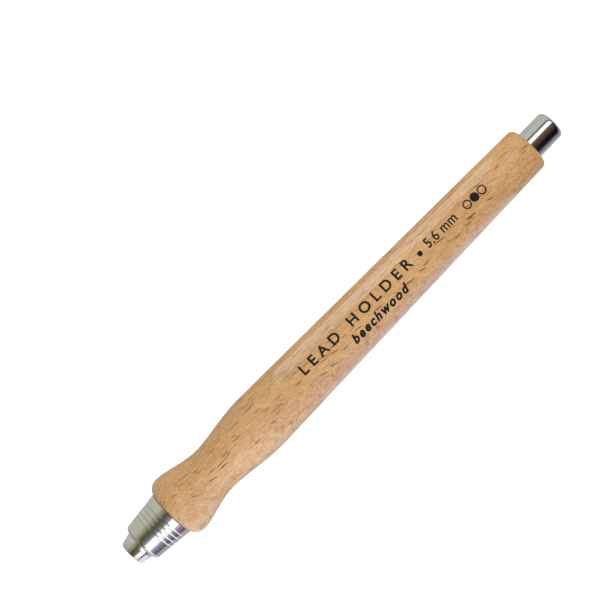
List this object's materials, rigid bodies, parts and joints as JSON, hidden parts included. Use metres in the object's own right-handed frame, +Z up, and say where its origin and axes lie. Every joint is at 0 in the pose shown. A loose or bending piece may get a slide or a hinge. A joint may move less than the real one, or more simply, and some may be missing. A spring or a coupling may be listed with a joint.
{
  "type": "lead holder",
  "caption": "Push-button clutch lead holder for 5.6 mm leads: turned beech barrel with a bell at the nose, grooved chromed ferrule, split collet jaws and chromed button.",
  "frame": {"origin": "under the middle of the length, on the surface the holder lies on", "axes": "+X along the holder's axis from the jaws towards the button, +Z up, +Y to the left of someone looking from the jaws to the button"},
  "size_m": [0.1504, 0.0172, 0.0172],
  "materials": {
    "beech": "clear satin lacquer",
    "chrome_plate": "polished plate",
    "collet_plate": "nickel-plated brass, turned",
    "brass": "turned, bare",
    "spring_steel": "drawn wire",
    "graphite": "burnished graphite",
    "black_print": "pad-printed ink"
  },
  "bodies": {
    "holder": {"barrel": "beech", "nose_ferrule": "chrome_plate", "ferrule_insert": "brass", "rear_guide_bush": "brass"},
    "mechanism": {"spring_washer": "spring_steel", "return_spring": "spring_steel"},
    "pusher": {"push_button": "chrome_plate", "lead_tube": "brass", "collet_coupler": "brass", "collet_base": "collet_plate", "spring_collar": "brass"},
    "jaw_1": {"jaw_1": "collet_plate"},
    "jaw_2": {"jaw_2": "collet_plate"},
    "jaw_3": {"jaw_3": "collet_plate"},
    "lead": {"graphite_lead": "graphite"}
  },
  "joints": [
    {"name": "mechanism_spin", "type": "hinge", "parent": "holder", "child": "mechanism", "pos_m": [0, 0, 0.00862], "axis": [1, 0, 0], "continuous": true},
    {"name": "button_push", "type": "slide", "parent": "mechanism", "child": "pusher", "axis": [-1, 0, 0], "range_m": [0, 0.0045], "stiffness_N_per_m": 1200, "springref_m": -0.004, "deforming": ["return_spring"]},
    {"name": "jaw_1_open", "type": "hinge", "parent": "pusher", "child": "jaw_1", "pos_m": [-0.05278, -0.0031, 0.00824], "axis": [0, -0.1219, 0.9925], "range_deg": [0, 1.5]},
    {"name": "jaw_2_open", "type": "hinge", "parent": "pusher", "child": "jaw_2", "pos_m": [-0.05278, 0.00188, 0.00612], "axis": [0, -0.7986, -0.6018], "range_deg": [0, 1.5]},
    {"name": "jaw_3_open", "type": "hinge", "parent": "pusher", "child": "jaw_3", "pos_m": [-0.05278, 0.00122, 0.01149], "axis": [0, 0.9205, -0.3907], "range_deg": [0, 1.5]},
    {"name": "lead_feed", "type": "slide", "parent": "pusher", "child": "lead", "axis": [-1, 0, 0], "range_m": [0, 0.11]}
  ],
  "couplings": [
    {"joint": "jaw_1_open", "follows": "button_push", "rad_per_m": 5.817},
    {"joint": "jaw_2_open", "follows": "button_push", "rad_per_m": 5.817},
    {"joint": "jaw_3_open", "follows": "button_push", "rad_per_m": 5.817}
  ]
}
